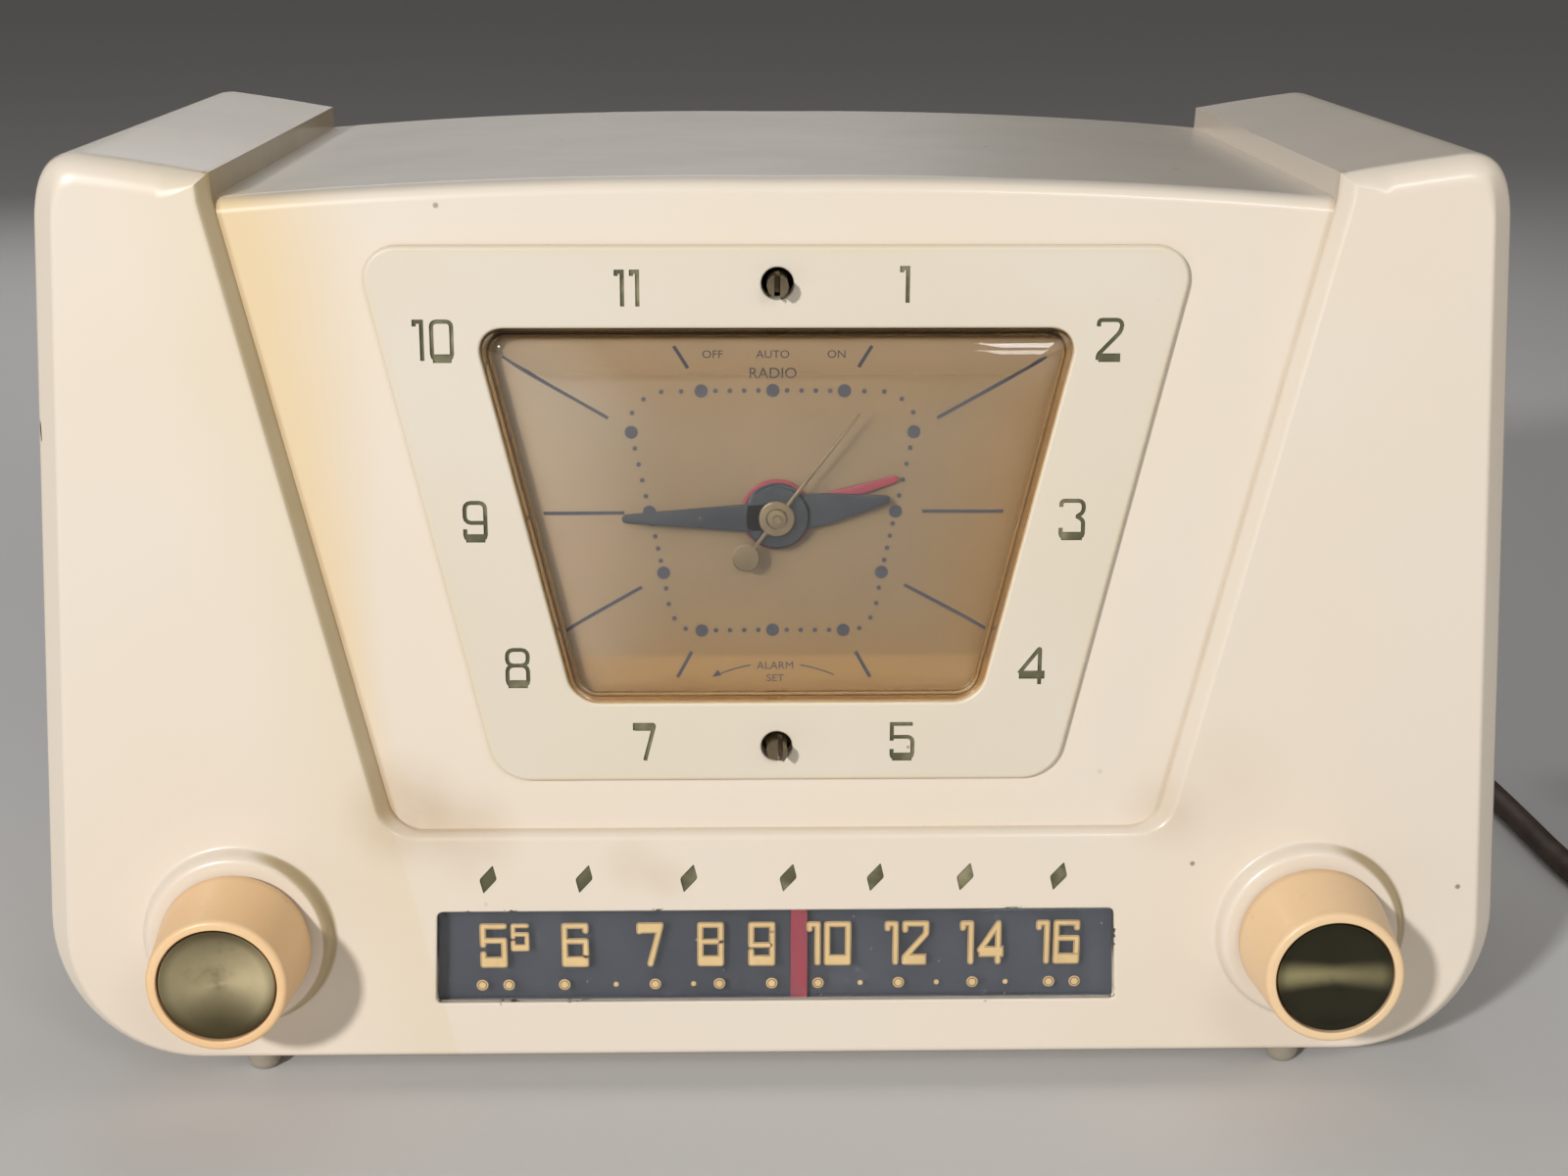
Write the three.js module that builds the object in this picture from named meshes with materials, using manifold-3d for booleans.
// Mid-century mains alarm clock radio: a moulded cabinet with a V-shaped recess for the clock,
// a slide-rule tuning scale between two knobs, an electric clock movement, a five-valve chassis,
// a pierced back cover and a mains lead.
//
// Millimetres, +Z up, +X to the right seen from the front, +Y towards the back.
// The pieces are modelled from the face of the cheeks (y = 0), and the last group moves that face
// forward, so that the origin is under the middle of the object at table height.

import * as THREE from "three";
import { mergeVertices } from "three/addons/utils/BufferGeometryUtils.js";
import Module from "manifold-3d";

const wasm = await Module();
wasm.setup();

// ---------------------------------------------------------------- driving dimensions

const WALL = 3;                  // moulded wall thickness
const GAP = 0.3;                 // clearance between touching pieces
const DEPTH = 160;               // cabinet, cheek face to rear edge
const BASE = 7;                  // underside of the cabinet above the table
const BOTTOM_FLAT = 126;         // half width of the flat underside
const CORNER_TOP = 40;           // height where the lower corner meets the side
const SIDE_LOW = 158;            // half width at CORNER_TOP
const SIDE_HIGH = 149.4;         // half width at SHOULDER
const SHOULDER = 190;            // height where the side rounds over into the top
const RIDGE = [138.5, 203.9];    // highest line of a cheek
const CHEEK_INNER = [113.5, 200];
const BAND_EDGE = 194.8;         // lower centre band of the top, at its edges
const BAND_CROWN = 199;          // and at its middle
const SIDE_BEVEL = 4.8;

const PANEL_DEPTH = 3.3;         // recess of the V-shaped panel behind the cheeks
const PANEL_TOP = 113.2;         // its half width at the top band
const PANEL_FOOT = [82, 59.5];   // its lower corner
const PANEL_CORNER = 6;

const CLOCK_Z = 128.2;           // height of the clock's centre
const BEZEL = { top: 185.6, foot: 71, topHalf: 85.5, footHalf: 59.7, topR: 9, footR: 7 };
const GLASS = { top: 168.7, foot: 88.5, topHalf: 61.8, footHalf: 43, topR: 6, footR: 5.5 };
const BEZEL_FRONT = 1.3;
const DIAL_FRONT = 9;
const DIAL_BACK = 9.8;
const SWITCH_Z = 177.9;          // radio switch shaft
const SETTER_Z = 78.7;           // alarm setting shaft
const SHAFT_HOLE_R = 3.3;

const WINDOW = { top: 41.3, foot: 19.8, topHalf: 73.5, footHalf: 74.5 };
const SCALE_FRONT = 5;
const POINTER_X = 5;

const KNOB_X = 116.5;
const KNOB_Z = 36;
const KNOB_FRONT = -25;
const BOSS_FRONT = -3.5;
const KNOB_BASE_R = 16.4;
const KNOB_FRONT_R = 14.25;
const INSERT_R = 12.2;

const DECK_Z = 60;               // top of the chassis
const CHASSIS_FRONT = 27;
const CHASSIS_REAR = 140;
const DRUM = { x: 78, z: 92, r: 40, front: 13 };
const SPINDLE_R = 3.2;           // tuning spindle where the dial cord wraps it
const COVER_REAR = 158;
const TIME_KNOB_REAR = 170;

const CORD_D = 6.5;
const CENTRE_Y = (KNOB_FRONT + TIME_KNOB_REAR) / 2;

// ---------------------------------------------------------------- materials

const plastic = (color, roughness) => new THREE.MeshStandardMaterial({ color, roughness, metalness: 0 });
const metal = (color, roughness) => new THREE.MeshStandardMaterial({ color, roughness, metalness: 1 });

const CREAM = plastic(0xece0c8, 0.35);
const CREAM_SATIN = plastic(0xe4d9c2, 0.5);
const CLEAR = new THREE.MeshStandardMaterial({
  color: 0xd8d0b0, roughness: 0.1, transparent: true, opacity: 0.3,
});
const DIAL_TAN = plastic(0xb29a70, 0.5);
const SLATE = plastic(0x323c48, 0.5);
const RED = plastic(0xa8324a, 0.5);
const PEACH = plastic(0xe6c08c, 0.3);
const BLACK = plastic(0x22201f, 0.6);
const BROWN = plastic(0x3f2a1c, 0.5);
const HARDBOARD = plastic(0x5b4632, 0.9);
const PAPER = plastic(0x2c2a28, 0.95);
const LAMP_GLASS = plastic(0xd9dcd8, 0.1);
const BRASS = metal(0xb59a5a, 0.35);
const STEEL = metal(0xa7a9a8, 0.4);
const ZINC = metal(0xb9bbb6, 0.45);
const COPPER = metal(0xb06a40, 0.4);

// ---------------------------------------------------------------- solids

const assembly = new THREE.Group();

function piece(name, geometry, material) {
  const mesh = new THREE.Mesh(geometry, material);
  mesh.name = name;
  assembly.add(mesh);
  return mesh;
}

function placed(geometry, x, y, z) {
  return geometry.translate(x, y, z);
}

function toSolid(geometry) {
  const bare = geometry.clone();
  bare.deleteAttribute("uv");
  bare.deleteAttribute("normal");
  const merged = mergeVertices(bare, 1e-4);
  return new wasm.Manifold(new wasm.Mesh({
    numProp: 3,
    vertProperties: new Float32Array(merged.attributes.position.array),
    triVerts: new Uint32Array(merged.index.array),
  }));
}

function toGeometry(solid) {
  const mesh = solid.getMesh();
  const geometry = new THREE.BufferGeometry();
  geometry.setAttribute("position", new THREE.BufferAttribute(mesh.vertProperties, 3));
  geometry.setIndex(new THREE.BufferAttribute(mesh.triVerts, 1));
  geometry.computeVertexNormals();
  return geometry;
}

function join(...geometries) {
  return toGeometry(geometries.map(toSolid).reduce((all, next) => all.add(next)));
}

function cut(geometry, ...tools) {
  return toGeometry(tools.map(toSolid).reduce((left, tool) => left.subtract(tool), toSolid(geometry)));
}

// A front-view shape (x, z) made solid between two depths.
function slab(shape, front, back, curveSegments = 6) {
  const geometry = new THREE.ExtrudeGeometry(shape, {
    depth: back - front, bevelEnabled: false, curveSegments,
  });
  return geometry.rotateX(Math.PI / 2).translate(0, back, 0);
}

function box(x0, x1, y0, y1, z0, z1) {
  const geometry = new THREE.BoxGeometry(x1 - x0, y1 - y0, z1 - z0);
  return placed(geometry, (x0 + x1) / 2, (y0 + y1) / 2, (z0 + z1) / 2);
}

function rod(radius, front, back, x, z, sides = 12) {
  const geometry = new THREE.CylinderGeometry(radius, radius, back - front, sides);
  return placed(geometry, x, (front + back) / 2, z);
}

function post(radius, low, high, x, y, sides = 12) {
  const geometry = new THREE.CylinderGeometry(radius, radius, high - low, sides).rotateX(Math.PI / 2);
  return placed(geometry, x, y, (low + high) / 2);
}

function lathe(profile, sides) {
  const points = profile.map(([r, along]) => new THREE.Vector2(r, along));
  if (THREE.ShapeUtils.isClockWise(points)) points.reverse();
  return new THREE.LatheGeometry(points, sides);
}

// Turned about a line along y: the profile is (radius, y).
function turned(profile, x, z, sides = 16) {
  return placed(lathe(profile, sides), x, 0, z);
}

// Turned about an upright line: the profile is (radius, z).
function upright(profile, x, y, sides = 12) {
  return placed(lathe(profile, sides).rotateX(Math.PI / 2), x, y, 0);
}

// ---------------------------------------------------------------- outlines

function loop(points) {
  return new THREE.Shape(points.map(([x, z]) => new THREE.Vector2(x, z)));
}

// Moves each side of an anticlockwise outline inwards by the same distance.
function inset(points, distance) {
  return points.map((point, i) => {
    const before = points[(i + points.length - 1) % points.length];
    const after = points[(i + 1) % points.length];
    const a = new THREE.Vector2(point[0] - before[0], point[1] - before[1]).normalize();
    const b = new THREE.Vector2(after[0] - point[0], after[1] - point[1]).normalize();
    const reach = distance / (1 + a.dot(b));
    return [point[0] - (a.y + b.y) * reach, point[1] + (a.x + b.x) * reach];
  });
}

function bend(from, corner, to, steps) {
  const curve = new THREE.QuadraticBezierCurve(
    new THREE.Vector2(...from), new THREE.Vector2(...corner), new THREE.Vector2(...to));
  return curve.getPoints(steps).map((p) => [p.x, p.y]);
}

function arcCorner(from, corner, to, steps) {
  const pull = 0.5523;
  const towards = (a, b) => new THREE.Vector2(a[0] + (b[0] - a[0]) * pull, a[1] + (b[1] - a[1]) * pull);
  const curve = new THREE.CubicBezierCurve(
    new THREE.Vector2(...from), towards(from, corner), towards(to, corner), new THREE.Vector2(...to));
  return curve.getPoints(steps).map((p) => [p.x, p.y]);
}

// The cabinet seen from the front, anticlockwise from the middle of the underside.
function cabinetOutline() {
  const sideLow = [SIDE_LOW, CORNER_TOP];
  const sideHigh = [SIDE_HIGH, SHOULDER];
  const half = [
    ...arcCorner([BOTTOM_FLAT, BASE], [SIDE_LOW + 2, BASE], sideLow, 7),
    ...bend(sideHigh, [SIDE_HIGH - 0.9, RIDGE[1] + 1], RIDGE, 5),
    ...bend(RIDGE, [RIDGE[0] - 12, RIDGE[1] - 1.6], CHEEK_INNER, 3).slice(1),
    ...bend([CHEEK_INNER[0], BAND_EDGE], [60, BAND_CROWN + 0.6], [0, BAND_CROWN], 5),
  ];
  const mirrored = half.slice(0, -1).reverse().map(([x, z]) => [-x, z]);
  return [...half, ...mirrored];
}

// A keystone with rounded corners, symmetrical about x = 0.
function keystone({ top, foot, topHalf, footHalf, topR, footR }, steps = 4) {
  const side = new THREE.Vector2(topHalf - footHalf, top - foot).normalize();
  const low = arcCorner([footHalf - footR, foot], [footHalf, foot],
    [footHalf + side.x * footR, foot + side.y * footR], steps);
  const high = arcCorner([topHalf - side.x * topR, top - side.y * topR], [topHalf, top],
    [topHalf - topR, top], steps);
  const right = [...low, ...high];
  return [...right, ...right.slice().reverse().map(([x, z]) => [-x, z])];
}

// The V-shaped panel, running out of the top of the cabinet.
function panelOutline() {
  const [footHalf, foot] = PANEL_FOOT;
  const side = new THREE.Vector2(PANEL_TOP - footHalf, BAND_EDGE - foot).normalize();
  const over = 10;
  const right = [
    ...arcCorner([footHalf - PANEL_CORNER, foot], [footHalf, foot],
      [footHalf + side.x * PANEL_CORNER, foot + side.y * PANEL_CORNER], 3),
    [PANEL_TOP, BAND_EDGE],
    [PANEL_TOP, BAND_CROWN + over],
  ];
  return [...right, ...right.slice().reverse().map(([x, z]) => [-x, z])];
}

function outlineAroundCircles(circles, grow) {
  const points = circles.flatMap(({ x, z, r }) => Array.from({ length: 36 }, (_, i) => {
    const angle = (i / 36) * 2 * Math.PI;
    return [x + (r + grow) * Math.cos(angle), z + (r + grow) * Math.sin(angle)];
  })).sort((a, b) => a[0] - b[0] || a[1] - b[1]);
  const turnOf = (o, a, b) => (a[0] - o[0]) * (b[1] - o[1]) - (a[1] - o[1]) * (b[0] - o[0]);
  const chain = (ordered) => ordered.reduce((hull, p) => {
    while (hull.length > 1 && turnOf(hull.at(-2), hull.at(-1), p) <= 0) hull.pop();
    return [...hull, p];
  }, []).slice(0, -1);
  return [...chain(points), ...chain(points.slice().reverse())];
}

// ---------------------------------------------------------------- cabinet

function sideBevelCutter(sign) {
  const lean = Math.atan((SIDE_LOW - SIDE_HIGH) / (SHOULDER - CORNER_TOP));
  const middle = (SHOULDER + CORNER_TOP) / 2;
  const halfWidth = (SIDE_LOW + SIDE_HIGH) / 2;
  const size = 20;
  const cutter = new THREE.BoxGeometry(size, size, SHOULDER - CORNER_TOP);
  cutter.rotateZ(Math.PI / 4 * sign);
  cutter.translate(sign * size / 2 * Math.SQRT1_2, -size / 2 * Math.SQRT1_2, 0);
  cutter.rotateY(-sign * lean);
  return placed(cutter, sign * (halfWidth - SIDE_BEVEL / 2), SIDE_BEVEL / 2, middle);
}

function foot(x, y) {
  return upright([[0, 0], [3, 0], [3.6, 1], [4, BASE + 1], [0, BASE + 1]], x, y, 12);
}

function boss(sign) {
  return turned([[0, 1], [20.5, 1], [20.5, 0], [19, BOSS_FRONT + 0.8], [18, BOSS_FRONT], [0, BOSS_FRONT]],
    sign * KNOB_X, KNOB_Z, 24);
}

function screwBoss(x, z) {
  return rod(4.5, COVER_REAR - 14, COVER_REAR - 3 - GAP, x, z, 12);
}

function sideHalfWidth(z) {
  return THREE.MathUtils.mapLinear(z, CORNER_TOP, SHOULDER, SIDE_LOW, SIDE_HIGH);
}

const BACK_SCREWS = [[-143, 176], [143, 176], [-148, 52], [148, 52]];

function cabinet() {
  const outline = cabinetOutline();
  const panel = panelOutline();
  const inside = inset(outline, WALL);
  const cavity = cut(
    slab(loop(inside), WALL, DEPTH + 5),
    slab(loop(inset(panel, -WALL)), 0, WALL + PANEL_DEPTH));
  const shell = cut(
    slab(loop(outline), 0, DEPTH),
    cavity,
    slab(loop(panel), -1, PANEL_DEPTH),
    slab(loop(inset(keystone(GLASS), -2.9)), 0, 10),
    slab(loop(keystone({ ...WINDOW, topR: 1.2, footR: 1.2 }, 1)), -1, 6),
    rod(SHAFT_HOLE_R, 0, 10, 0, SWITCH_Z),
    rod(SHAFT_HOLE_R, 0, 10, 0, SETTER_Z),
    sideBevelCutter(1),
    sideBevelCutter(-1));
  const extras = [boss(1), boss(-1)];
  for (const x of [-115, 115]) {
    for (const y of [11, DEPTH - 14]) extras.push(foot(x, y));
  }
  const web = (x, z) => {
    const wall = Math.sign(x) * (sideHalfWidth(z) - 1);
    return box(Math.min(x, wall), Math.max(x, wall), COVER_REAR - 14, COVER_REAR - 3 - GAP, z - 2, z + 2);
  };
  for (const [x, z] of BACK_SCREWS) extras.push(screwBoss(x, z), web(x, z));
  const whole = join(shell, ...extras);
  return cut(whole,
    rod(4.2, BOSS_FRONT - 1, 6, KNOB_X, KNOB_Z),
    rod(4.2, BOSS_FRONT - 1, 6, -KNOB_X, KNOB_Z),
    ...BACK_SCREWS.map(([x, z]) => rod(1.9, COVER_REAR - 12, COVER_REAR, x, z, 8)));
}

piece("cabinet", cabinet(), CREAM);

// ---------------------------------------------------------------- clock face

function clockBezel() {
  const plate = slab(loop(keystone(BEZEL)), BEZEL_FRONT, PANEL_DEPTH - GAP);
  return cut(plate,
    slab(loop(keystone(GLASS)), 0, 5),
    rod(SHAFT_HOLE_R, 0, 5, 0, SWITCH_Z),
    rod(SHAFT_HOLE_R, 0, 5, 0, SETTER_Z));
}

function crystal() {
  const opening = keystone(GLASS);
  const flange = slab(loop(inset(opening, -2.5)), PANEL_DEPTH, PANEL_DEPTH + 1.2);
  const wall = slab(loop(inset(opening, 0.35)), 0, PANEL_DEPTH + 1);
  const crown = slab(loop(inset(opening, 2.2)), -1.6, 0.5);
  const hollow = slab(loop(inset(opening, 1.6)), 1, PANEL_DEPTH + 5);
  const crownHollow = slab(loop(inset(opening, 4)), -0.4, 2);
  return cut(join(flange, wall, crown), hollow, crownHollow);
}

function clockDial() {
  const plate = slab(loop(inset(keystone(GLASS), -3.6)), DIAL_FRONT, DIAL_BACK);
  return cut(plate, rod(4.2, 5, 12, 0, CLOCK_Z, 20));
}

piece("clock_bezel", clockBezel(), CREAM_SATIN);
piece("crystal", crystal(), CLEAR);
piece("clock_dial", clockDial(), DIAL_TAN);

// A hand lies flat in x-z about its own hub and points up; the mesh is then turned to its time.
function handBlade(hubR, boreR, rootHalf, tipHalf, length, front, thick) {
  const blade = new THREE.Shape();
  blade.moveTo(-rootHalf, 0);
  blade.lineTo(rootHalf, 0);
  blade.lineTo(tipHalf, length - tipHalf);
  blade.absarc(0, length - tipHalf, tipHalf, 0, Math.PI, false);
  blade.closePath();
  const hub = rod(hubR, front, front + thick, 0, 0, 18);
  return cut(join(slab(blade, front, front + thick, 4), hub), rod(boreR, front - 1, front + thick + 1, 0, 0));
}

function atClock(mesh, degrees) {
  mesh.position.z = CLOCK_Z;
  mesh.rotation.y = THREE.MathUtils.degToRad(degrees);
  return mesh;
}

const MINUTE_ANGLE = 269.6;
const HOUR_ANGLE = 81.5;
const SECOND_ANGLE = 37.5;
const ALARM_ANGLE = 73;

function secondHand() {
  const front = 3.9;
  const back = 4.5;
  const needle = new THREE.Shape();
  needle.moveTo(-0.5, -9);
  needle.lineTo(0.5, -9);
  needle.lineTo(0.25, 28);
  needle.lineTo(-0.25, 28);
  needle.closePath();
  const cap = turned([[0, back], [3.8, back], [3.8, front + 0.1], [2, front - 0.2], [0, front - 0.2]], 0, 0);
  const weight = rod(2.9, front, back, 0, -10.6, 12);
  return join(slab(needle, front, back), cap, weight);
}

atClock(piece("minute_hand", handBlade(6.6, 2.1, 3.2, 0.95, 32.4, 5.2, 0.5), SLATE), MINUTE_ANGLE);
atClock(piece("hour_hand", handBlade(7.1, 3, 4.1, 0.95, 24.1, 6.5, 0.5), SLATE), HOUR_ANGLE);
atClock(piece("alarm_hand", handBlade(7.6, 3.9, 1.7, 0.8, 26.6, 7.8, 0.4), RED), ALARM_ANGLE);
atClock(piece("second_hand", secondHand(), BRASS), SECOND_ANGLE);

// ---------------------------------------------------------------- clock movement

// A spur wheel in x-z, one tooth at the angle given, its tapered teeth thinner than its spaces so that
// a pair runs free.
function toothed(teeth, module, front, back, toothAt) {
  const pitch = teeth * module / 2;
  const rootR = pitch - 1.05 * module;
  const tipR = pitch + 0.75 * module;
  const points = [];
  for (let i = 0; i < teeth; i += 1) {
    const middle = toothAt + (i / teeth) * 2 * Math.PI;
    for (const [r, share] of [[rootR, -0.24], [tipR, -0.09], [tipR, 0.09], [rootR, 0.24]]) {
      const angle = middle + (share * 2 * Math.PI) / teeth;
      points.push([r * Math.cos(angle), r * Math.sin(angle)]);
    }
  }
  return slab(loop(points), front, back);
}

const MOTION_TEETH = { cannon: 10, setting: 30, pinion: 8, hour: 32 };
const CANNON_MODULE = 0.96;
const SETTING_X = -(MOTION_TEETH.cannon + MOTION_TEETH.setting) * CANNON_MODULE / 2;
const HOUR_MODULE = -2 * SETTING_X / (MOTION_TEETH.pinion + MOTION_TEETH.hour);
const ALARM_TEETH = { setter: 14, wheel: 28 };
const ALARM_MODULE = 2 * (CLOCK_Z - SETTER_Z) / (ALARM_TEETH.setter + ALARM_TEETH.wheel);

// The angle to give a wheel so that it has a space, not a tooth, towards its mate.
function spaceTowards(angle, teeth) {
  return angle + Math.PI / teeth;
}

function wheelOnTube(wheel, inner, outer, front, back) {
  return cut(join(wheel, rod(outer, front, back, 0, 0)), rod(inner, front - 1, back + 1, 0, 0));
}

function cannonPinion() {
  return wheelOnTube(toothed(MOTION_TEETH.cannon, CANNON_MODULE, 17, 19, Math.PI), 1.2, 1.8, 4.9, 23);
}

function hourWheel() {
  return wheelOnTube(toothed(MOTION_TEETH.hour, HOUR_MODULE, 14, 15, Math.PI), 2.1, 2.7, 6.2, 16);
}

function alarmWheel() {
  return wheelOnTube(toothed(ALARM_TEETH.wheel, ALARM_MODULE, 11, 12.2, -Math.PI / 2), 3, 3.6, 7.5, 13);
}

function settingWheel() {
  const { setting, pinion } = MOTION_TEETH;
  const wheel = toothed(setting, CANNON_MODULE, 17.4, 18.6, spaceTowards(0, setting));
  const smallWheel = toothed(pinion, HOUR_MODULE, 13.6, 17.4, spaceTowards(0, pinion));
  return join(wheel, smallWheel, rod(1.5, 12.5, COVER_REAR + 8, 0, 0, 12));
}

function timeSetKnob() {
  const flutes = 12;
  const points = Array.from({ length: flutes * 2 }, (_, i) => {
    const r = i % 2 ? 8.3 : 9;
    const angle = (i / (flutes * 2)) * 2 * Math.PI;
    return [r * Math.cos(angle), r * Math.sin(angle)];
  });
  const bore = rod(1.8, COVER_REAR, TIME_KNOB_REAR - 3, 0, 0, 12);
  return cut(slab(loop(points), COVER_REAR + 2.5, TIME_KNOB_REAR), bore);
}

function alarmSetShaft() {
  const stub = rod(2.2, -3.6, 20, 0, 0);
  const split = box(0.2, 1.2, -5, 3, -3, 3);
  const broken = box(-3, 0.5, -5, -1.6, -3, 3);
  const pinion = toothed(ALARM_TEETH.setter, ALARM_MODULE, 10.8, 12.4,
    spaceTowards(Math.PI / 2, ALARM_TEETH.setter));
  return join(cut(stub, split, broken), pinion);
}

function switchShaft() {
  return cut(rod(2.2, -3.6, 24, 0, 0), box(-0.75, 0.45, -5, 4, -3, 3));
}

const FRONT_PLATE = [26, 27.2];
const BACK_PLATE = [52, 53.2];
const PLATE_HALF = 34;

function movementFrontPlate() {
  const plate = box(-PLATE_HALF, PLATE_HALF, ...FRONT_PLATE, CLOCK_Z - 34, SWITCH_Z - 8);
  const pillars = [];
  for (const x of [-PLATE_HALF + 5, PLATE_HALF - 5]) {
    for (const z of [CLOCK_Z - 28, CLOCK_Z + 34]) {
      pillars.push(rod(2, FRONT_PLATE[0] + 0.5, BACK_PLATE[0] - GAP, x, z, 10));
      pillars.push(rod(1.6, DIAL_BACK + GAP, FRONT_PLATE[0] + 0.5, x, z, 8));
    }
  }
  return cut(join(plate, ...pillars), rod(2.4, 20, 60, 0, CLOCK_Z), rod(2, 20, 60, SETTING_X, CLOCK_Z, 12));
}

function movementBackPlate() {
  const plate = box(-PLATE_HALF, PLATE_HALF, ...BACK_PLATE, CLOCK_Z - 34, SWITCH_Z - 8);
  return cut(plate, rod(1.4, 40, 60, 0, CLOCK_Z, 12), rod(2, 40, 60, SETTING_X, CLOCK_Z, 12));
}

function radioSwitch() {
  const body = box(-14, 14, 21, 25, SWITCH_Z - 7, SWITCH_Z + 12);
  return cut(body, rod(2.6, 10, 30, 0, SWITCH_Z));
}

function secondArbor() {
  return join(rod(0.8, 4.8, 56, 0, CLOCK_Z, 10), rod(8.4, 56, 65, 0, CLOCK_Z, 20));
}

function motorCoil() {
  const winding = box(-10, 10, 53.6, 70, CLOCK_Z - 46, CLOCK_Z - 14.4);
  return cut(winding, box(-30, 30, 55.7, 66.3, CLOCK_Z - 40.3, CLOCK_Z - 29.7));
}

function motorCore() {
  const outer = box(-16.5, 16.5, 56, 66, CLOCK_Z - 40, CLOCK_Z + 12);
  return cut(outer,
    box(-10.5, 10.5, 50, 70, CLOCK_Z - 30, CLOCK_Z - 14),
    rod(9.5, 50, 70, 0, CLOCK_Z));
}

piece("cannon_pinion", cannonPinion(), BRASS).position.z = CLOCK_Z;
piece("hour_wheel", hourWheel(), BRASS).position.z = CLOCK_Z;
piece("alarm_wheel", alarmWheel(), BRASS).position.z = CLOCK_Z;
piece("setting_wheel", settingWheel(), BRASS).position.set(SETTING_X, 0, CLOCK_Z);
piece("time_set_knob", timeSetKnob(), BLACK).position.set(SETTING_X, 0, CLOCK_Z);
piece("alarm_set_shaft", alarmSetShaft(), ZINC).position.z = SETTER_Z;
piece("radio_switch_shaft", switchShaft(), ZINC).position.z = SWITCH_Z;
piece("radio_switch", radioSwitch(), BROWN);
piece("second_arbor", secondArbor(), STEEL);
piece("movement_front_plate", movementFrontPlate(), BRASS);
piece("movement_back_plate", movementBackPlate(), BRASS);
piece("motor_core", motorCore(), STEEL);
piece("motor_coil", motorCoil(), COPPER);

// ---------------------------------------------------------------- tuning scale

function dialWindow() {
  const inner = { top: WINDOW.top - GAP, foot: WINDOW.foot + GAP,
    topHalf: WINDOW.topHalf - 1.7, footHalf: WINDOW.footHalf - 1.7, topR: 0.6, footR: 0.6 };
  return slab(loop(keystone(inner, 1)), 0.8, 2.4);
}

function pointer() {
  const blade = box(POINTER_X - 1.8, POINTER_X + 1.8, 3.4, 4.2, 17, 45);
  const hook = box(POINTER_X - 1.8, POINTER_X + 1.8, 3.4, 11, 45, 46);
  const slider = box(POINTER_X - 6, POINTER_X + 6, 8, 11, 44, 51);
  const arm = box(POINTER_X - 1.5, POINTER_X + 1.5, 10, 11, 34, 46);
  return cut(join(blade, hook, slider, arm), box(POINTER_X - 9, POINTER_X + 9, 8.2, 10.8, 46.7, 49.3));
}

function pointerRail() {
  const bar = box(-100, 92, 8.6, 10.4, 47.1, 48.9);
  const brackets = [-100, 88].map((x) => box(x, x + 4, 8.6, CHASSIS_FRONT - GAP, 44, 52));
  return join(bar, ...brackets);
}

const CORD_PULLEY_R = 5;
const CORD_CIRCLES = [
  { x: KNOB_X, z: KNOB_Z, r: SPINDLE_R },
  { x: DRUM.x, z: DRUM.z, r: DRUM.r - 1 },
  { x: -88, z: KNOB_Z - SPINDLE_R + CORD_PULLEY_R, r: CORD_PULLEY_R },
];

function dialCord() {
  const ring = loop(outlineAroundCircles(CORD_CIRCLES, 1));
  ring.holes.push(new THREE.Path(
    outlineAroundCircles(CORD_CIRCLES, GAP).map(([x, z]) => new THREE.Vector2(x, z))));
  return slab(ring, 14.6, 15.3);
}

function driveDrum() {
  const { r, front } = DRUM;
  const groove = [
    [0, front + 4], [r, front + 4], [r, front + 3], [r - 1, front + 2.6], [r - 1, front + 1.4],
    [r, front + 1], [r, front], [0, front],
  ];
  const disc = turned(groove, 0, 0, 28);
  const openings = [0, 1, 2, 3].map((i) => {
    const angle = (i + 0.5) * Math.PI / 2;
    return rod(11, 0, 30, 23 * Math.cos(angle), 23 * Math.sin(angle), 10);
  });
  return cut(disc, ...openings, rod(3.3, 0, 30, 0, 0, 12));
}

piece("dial_scale", box(-82, 82, SCALE_FRONT, SCALE_FRONT + 0.8, 15, 44), SLATE);
piece("dial_window", dialWindow(), CLEAR);
piece("dial_pointer", pointer(), RED);
piece("pointer_rail", pointerRail(), ZINC);
piece("dial_cord", dialCord(), BLACK);
piece("drive_drum", driveDrum(), ZINC).position.set(DRUM.x, 0, DRUM.z);

// ---------------------------------------------------------------- knobs and controls

const KNOB_BACK = BOSS_FRONT - 0.7;

function knob(sign) {
  const profile = [
    [3.3, KNOB_BACK], [KNOB_BASE_R - 0.6, KNOB_BACK], [KNOB_BASE_R, KNOB_BACK - 1],
    [KNOB_BASE_R - 0.1, KNOB_BACK - 2.2], [KNOB_FRONT_R + 0.5, KNOB_FRONT + 2.4],
    [KNOB_FRONT_R - 0.6, KNOB_FRONT + 0.5], [KNOB_FRONT_R - 1.2, KNOB_FRONT],
    [INSERT_R + GAP, KNOB_FRONT], [INSERT_R + GAP, KNOB_FRONT + 2.6], [3.3, KNOB_FRONT + 2.6],
    [3.3, KNOB_BACK],
  ];
  return turned(profile, sign * KNOB_X, KNOB_Z, 24);
}

function insert(sign) {
  const profile = [[0, KNOB_FRONT + 2.3], [INSERT_R, KNOB_FRONT + 2.3], [INSERT_R, KNOB_FRONT + 0.5],
    [INSERT_R - 0.6, KNOB_FRONT + 0.4], [8, KNOB_FRONT + 1], [0, KNOB_FRONT + 1.3]];
  return turned(profile, sign * KNOB_X, KNOB_Z, 24);
}

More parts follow.
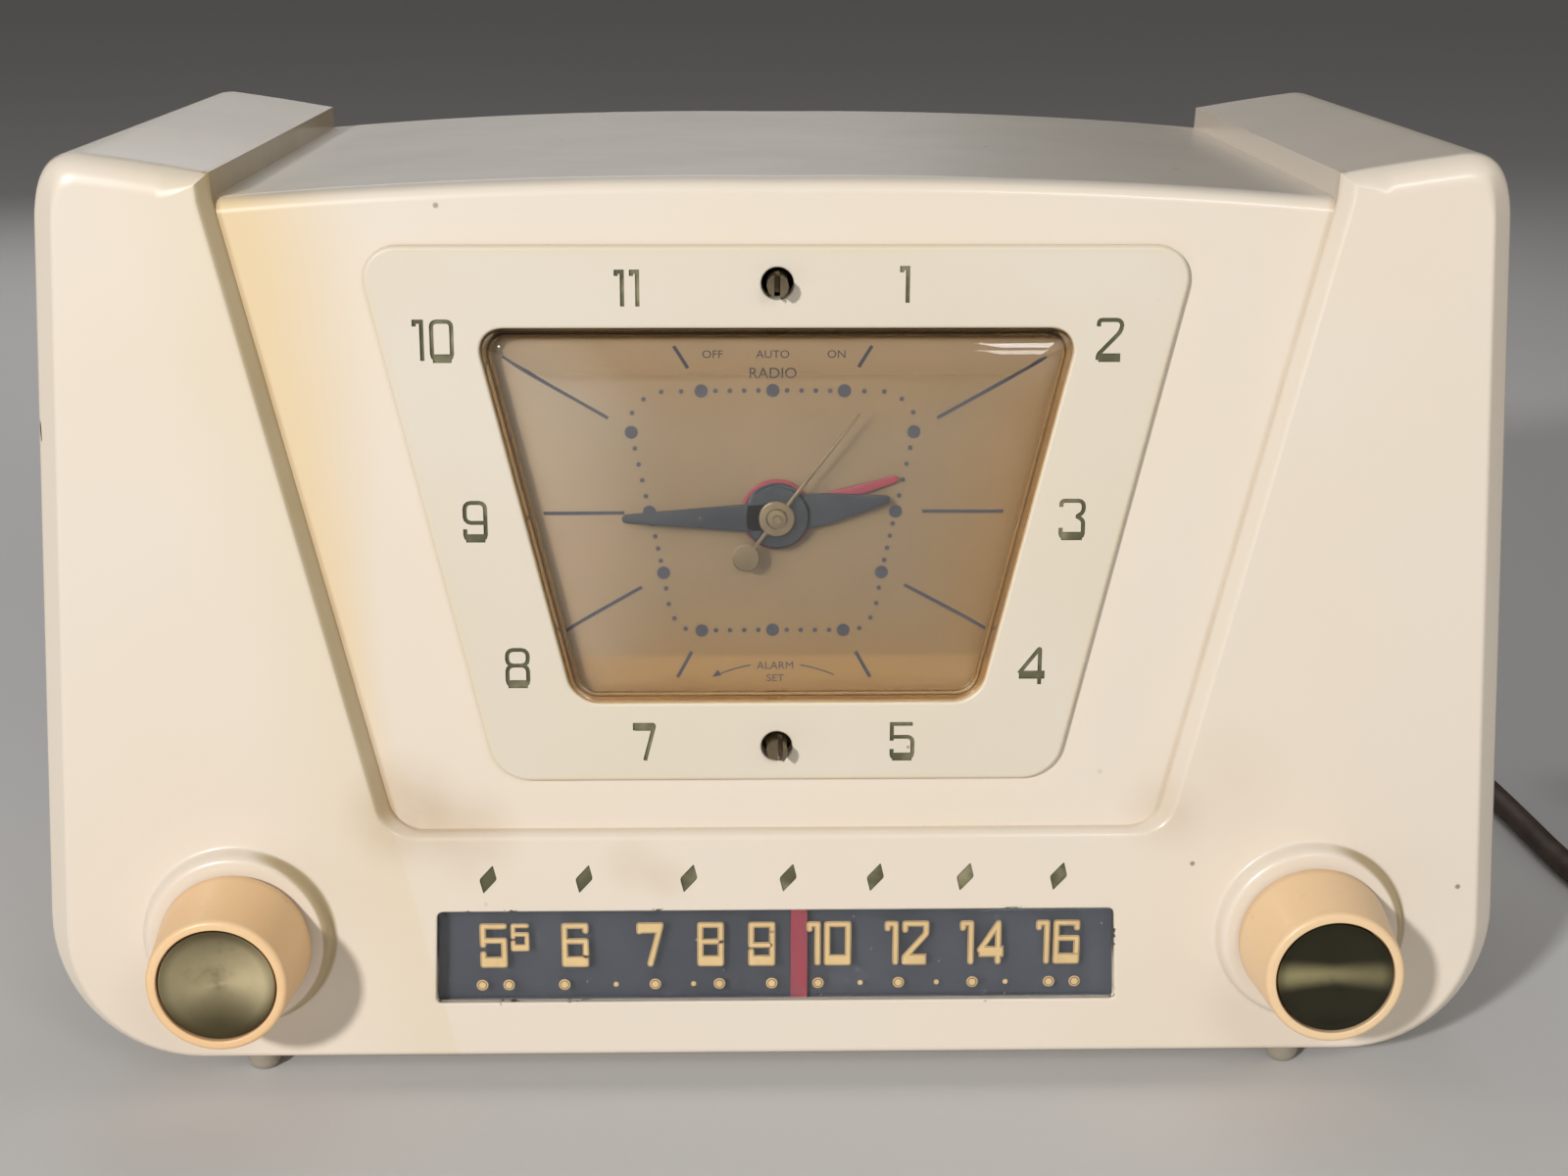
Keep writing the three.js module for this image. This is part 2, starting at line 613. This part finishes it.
piece("volume_knob", knob(-1), PEACH);
piece("volume_insert", insert(-1), BRASS);
piece("volume_shaft", rod(3, KNOB_FRONT + 2.9, 36, -KNOB_X, KNOB_Z, 12), ZINC);
piece("tuning_knob", knob(1), PEACH);
piece("tuning_insert", insert(1), BRASS);
piece("tuning_shaft", join(rod(3, KNOB_FRONT + 2.9, 36, KNOB_X, KNOB_Z, 12),
  rod(SPINDLE_R, 12, 18, KNOB_X, KNOB_Z, 16), rod(4.6, 36, 37, KNOB_X, KNOB_Z, 16)), ZINC);
piece("volume_control", cut(join(rod(11.5, CHASSIS_FRONT + 1.5, 42, -KNOB_X, KNOB_Z, 24),
  rod(9, 42, 48, -KNOB_X, KNOB_Z, 20)), rod(3.3, 0, 40, -KNOB_X, KNOB_Z, 12)), ZINC);

// ---------------------------------------------------------------- chassis and its parts

const VALVES = {
  converter_tube: { x: 20, y: 92, high: 48 },
  if_amplifier_tube: { x: -26, y: 96, high: 48 },
  detector_tube: { x: -64, y: 118, high: 48 },
  output_tube: { x: 108, y: 112, high: 60 },
  rectifier_tube: { x: 62, y: 118, high: 60 },
};
const SOCKET_HIGH = 3;

function chassis() {
  const half = 125;
  const deck = box(-half, half, CHASSIS_FRONT, CHASSIS_REAR, DECK_Z - 1.2, DECK_Z);
  const front = box(-half, half, CHASSIS_FRONT, CHASSIS_FRONT + 1.2, BASE + WALL + GAP, DECK_Z);
  const rear = box(-half, half, CHASSIS_REAR - 1.2, CHASSIS_REAR, BASE + WALL + GAP, DECK_Z);
  const lip = (y) => box(-half, half, y, y + 10, BASE + WALL + GAP, BASE + WALL + GAP + 1.2);
  const sockets = Object.values(VALVES).map(({ x, y }) => post(11, DECK_Z - 0.5, DECK_Z + SOCKET_HIGH, x, y));
  return cut(join(deck, front, rear, lip(CHASSIS_FRONT), lip(CHASSIS_REAR - 10), ...sockets),
    rod(5.2, 0, 60, KNOB_X, KNOB_Z), rod(5.2, 0, 60, -KNOB_X, KNOB_Z));
}

function valve({ x, y, high }) {
  const foot = DECK_Z + SOCKET_HIGH + GAP;
  const profile = [[0, foot], [8, foot], [9.5, foot + 2], [9.5, foot + high - 9],
    [7.5, foot + high - 4], [2, foot + high - 2], [0, foot + high]];
  return upright(profile, x, y);
}

function canOf(x, y, size, high) {
  return box(x - size / 2, x + size / 2, y - size / 2, y + size / 2, DECK_Z + GAP, DECK_Z + high);
}

function outputTransformer() {
  const [x, y] = [118, 66];
  const core = box(x - 5, x + 5, y - 20, y + 20, DECK_Z + GAP, DECK_Z + 34);
  const winding = box(x - 12, x + 12, y - 12, y + 12, DECK_Z + 5, DECK_Z + 29);
  return join(core, winding);
}

const ROTOR = { r: 17, plates: 6, first: 40, pitch: 5 };

function capacitorFrame() {
  const { x, z } = DRUM;
  const low = DECK_Z + GAP;
  const bottom = box(x - 19, x + 19, 32, 74, low, low + 2);
  const ends = [32, 72].map((y) => box(x - 19, x + 19, y, y + 2, low, z + 12));
  const stator = [];
  for (let i = 0; i <= ROTOR.plates; i += 1) {
    const y = ROTOR.first - ROTOR.pitch / 2 + i * ROTOR.pitch;
    stator.push(box(x - 19, x + 19, y - 0.5, y + 0.5, low + 1, z - 4));
  }
  return cut(join(bottom, ...ends, ...stator), rod(3.4, 20, 90, x, z, 12));
}

// The rotor's vanes are half discs, drawn fully meshed and then turned to the tuned place.
function capacitorRotor() {
  const shaft = rod(3, DRUM.front - 1, 74.5, 0, 0, 12);
  const vane = new THREE.Shape();
  vane.absarc(0, 0, ROTOR.r, -Math.PI, 0, false);
  vane.closePath();
  const vanes = Array.from({ length: ROTOR.plates }, (_, i) => {
    const y = ROTOR.first + i * ROTOR.pitch;
    return slab(vane, y - 0.4, y + 0.4, 8);
  });
  return join(shaft, ...vanes);
}

function dialLamp() {
  const profile = [[0, 49], [4.4, 49], [4.4, 58], [5.4, 62], [5, 67], [2.5, 70], [0, 70.6]];
  return upright(profile, -40, 20, 14);
}

const SCALE_ENDS = [-67, 59];
const TUNED_ANGLE = Math.PI * (POINTER_X - SCALE_ENDS[0]) / (SCALE_ENDS[1] - SCALE_ENDS[0]);

piece("chassis", chassis(), ZINC);
for (const [name, place] of Object.entries(VALVES)) piece(name, valve(place), LAMP_GLASS);
piece("first_if_can", canOf(-2, 118, 20, 46), ZINC);
piece("second_if_can", canOf(-96, 96, 20, 46), ZINC);
piece("electrolytic_can", post(12.5, DECK_Z + GAP, DECK_Z + 62, 32, 124, 20), ZINC);
piece("output_transformer", outputTransformer(), STEEL);
piece("capacitor_frame", capacitorFrame(), ZINC);
const rotor = piece("capacitor_rotor", capacitorRotor(), ZINC);
rotor.position.set(DRUM.x, 0, DRUM.z);
rotor.rotation.y = -TUNED_ANGLE;
piece("dial_lamp", dialLamp(), LAMP_GLASS);

// ---------------------------------------------------------------- loudspeaker

const SPEAKER = { x: -92, z: 136, r: 48 };

function speakerBasket() {
  const { x, z, r } = SPEAKER;
  const rim = COVER_REAR - 3 - GAP;
  const profile = [[0, rim - 24], [16, rim - 24], [20, rim - 22], [r - 5, rim - 4], [r, rim - 2], [r, rim],
    [r - 4, rim], [r - 6, rim - 3.2], [20, rim - 20.6], [0, rim - 20.6]];
  const magnet = rod(17, rim - 40, rim - 23.5, x, z);
  return join(turned(profile, x, z, 20), magnet);
}

function speakerCone() {
  const { x, z, r } = SPEAKER;
  const rim = COVER_REAR - 3 - GAP;
  const profile = [
    [0, rim - 19.8], [19, rim - 19.8], [r - 7, rim - 2.4], [r - 7, rim - 1.2], [19, rim - 18.6],
    [9, rim - 18.6], [7, rim - 15], [0, rim - 14],
  ];
  return turned(profile, x, z, 20);
}

piece("speaker_basket", speakerBasket(), ZINC);
piece("speaker_cone", speakerCone(), PAPER);

// ---------------------------------------------------------------- back

const CORD_EXIT = [120, 24];
const SLOT = { length: 70, high: 6, pitch: 14 };

function slots() {
  const rounded = (x, z, length, high) => {
    const half = length / 2;
    return keystone({ top: z + high / 2, foot: z - high / 2, topHalf: half, footHalf: half,
      topR: high / 3, footR: high / 3 }, 1).map(([px, pz]) => [px + x, pz]);
  };
  const all = [];
  for (let row = -2; row <= 2; row += 1) {
    all.push(rounded(SPEAKER.x, SPEAKER.z + row * SLOT.pitch, SLOT.length, SLOT.high));
    all.push(rounded(-SPEAKER.x, SPEAKER.z + row * SLOT.pitch, SLOT.length, SLOT.high));
  }
  for (let column = -2; column <= 2; column += 1) all.push(rounded(column * 34 - 16, 26, 24, SLOT.high));
  return all;
}

function backCover() {
  const plate = loop(inset(cabinetOutline(), WALL + GAP));
  for (const hole of slots()) {
    plate.holes.push(new THREE.Path(hole.map(([x, z]) => new THREE.Vector2(x, z))));
  }
  const sheet = slab(plate, COVER_REAR - 3, COVER_REAR);
  return cut(sheet,
    rod(3, 140, 170, SETTING_X, CLOCK_Z, 12),
    rod(7.4, 140, 170, ...CORD_EXIT, 16),
    ...BACK_SCREWS.map(([x, z]) => rod(2, 140, 170, x, z, 8)));
}

function backScrew(x, z) {
  const head = turned([[0, COVER_REAR + 2.2], [2.6, COVER_REAR + 1.6], [3.5, COVER_REAR + GAP],
    [0, COVER_REAR + GAP]], x, z, 16);
  const shank = rod(1.5, COVER_REAR - 11, COVER_REAR + 1, x, z, 8);
  return cut(join(head, shank), box(x - 4, x + 4, COVER_REAR + 1.3, COVER_REAR + 4, z - 0.4, z + 0.4));
}

function loopAntenna() {
  const inner = { top: 186, foot: 64, topHalf: 30, footHalf: 30, topR: 14, footR: 14 };
  const ring = loop(inset(keystone(inner, 3), -5));
  ring.holes.push(new THREE.Path(keystone(inner, 3).map(([x, z]) => new THREE.Vector2(x, z))));
  return slab(ring, COVER_REAR - 3 - GAP - 2.5, COVER_REAR - 3 - GAP);
}

piece("back_cover", backCover(), HARDBOARD);
BACK_SCREWS.forEach(([x, z], i) => piece(`back_screw_${i + 1}`, backScrew(x, z), STEEL));
piece("loop_antenna", loopAntenna(), COPPER);

// ---------------------------------------------------------------- mains lead

// The lead leaves the back cover, drops to the table, comes forward beside the cabinet and ends in a coil.
const COIL = { x: 272, y: 96, r: 36, turnsWide: 2, turnsHigh: 3 };
const RELIEF_END = COVER_REAR + 30;
const FLOOR = CORD_D / 2 + 0.05;
const CORD_ROUTE = [
  [120, RELIEF_END + GAP, 24], [120, 204, 23], [122, 221, 18], [129, 238, 10.5], [142, 250, 6],
  [158, 254, 3.8], [174, 249, FLOOR], [188, 238, FLOOR], [199, 222, FLOOR], [206, 203, FLOOR],
  [210, 182, FLOOR], [212, 160, FLOOR], [213.2, 140, FLOOR], [214.4, 120, FLOOR], [217, 100, FLOOR],
  [223, 82, FLOOR], [233, 67, FLOOR], [246, 57.5, FLOOR], [261, 54.2, FLOOR], [276, 56.9, FLOOR],
];

function coilRing(grow) {
  const { x, y, r, turnsWide, turnsHigh } = COIL;
  const inner = r - turnsWide * CORD_D / 2 - grow;
  const outer = r + turnsWide * CORD_D / 2 + grow;
  const high = turnsHigh * CORD_D + grow;
  const low = 0.1 - grow;
  const edge = 1.5;
  const profile = [
    [inner, low + edge], [inner + edge, low], [outer - edge, low], [outer, low + edge],
    [outer, high - edge], [outer - edge, high], [inner + edge, high], [inner, high - edge],
    [inner, low + edge],
  ];
  return upright(profile, x, y, 24);
}

function powerCord() {
  const points = CORD_ROUTE.map((p) => new THREE.Vector3(...p));
  const path = new THREE.CatmullRomCurve3(points, false, "centripetal");
  const section = new THREE.Shape();
  section.absarc(0, 0, CORD_D / 2, 0, 2 * Math.PI, false);
  const lead = new THREE.ExtrudeGeometry(section, {
    steps: 34, curveSegments: 4, extrudePath: path, bevelEnabled: false,
  });
  return cut(lead, coilRing(GAP));
}

function strainRelief() {
  const [x, z] = CORD_EXIT;
  const profile = [[0, RELIEF_END], [4, RELIEF_END], [5.6, COVER_REAR + 2.5], [9.5, COVER_REAR + 2.4],
    [9.5, COVER_REAR + GAP], [7, COVER_REAR + GAP], [7, COVER_REAR - 8], [0, COVER_REAR - 8]];
  return turned(profile, x, z, 16);
}

// The plug lies along the top of the coil, its neck towards +X.
function plug() {
  const [x, y] = [COIL.x, COIL.y + COIL.r];
  const low = COIL.turnsHigh * CORD_D + GAP;
  const middle = low + 8;
  const body = box(x - 20, x + 3, y - 11, y + 11, low, low + 16);
  const neck = box(x + 2, x + 12, y - 5, y + 5, low + 3, low + 13);
  const blade = (dy) => box(x - 37, x - 19, y + dy - 0.8, y + dy + 0.8, middle - 3.2, middle + 3.2);
  return join(body, neck, blade(-6.3), blade(6.3));
}

piece("strain_relief", strainRelief(), BROWN);
piece("power_cord", powerCord(), BROWN);
piece("cord_coil", coilRing(0), BROWN);
piece("plug", plug(), BROWN);

// ---------------------------------------------------------------- whole object

const group = new THREE.Group();
assembly.position.y = -CENTRE_Y;
group.add(assembly);

export default group;
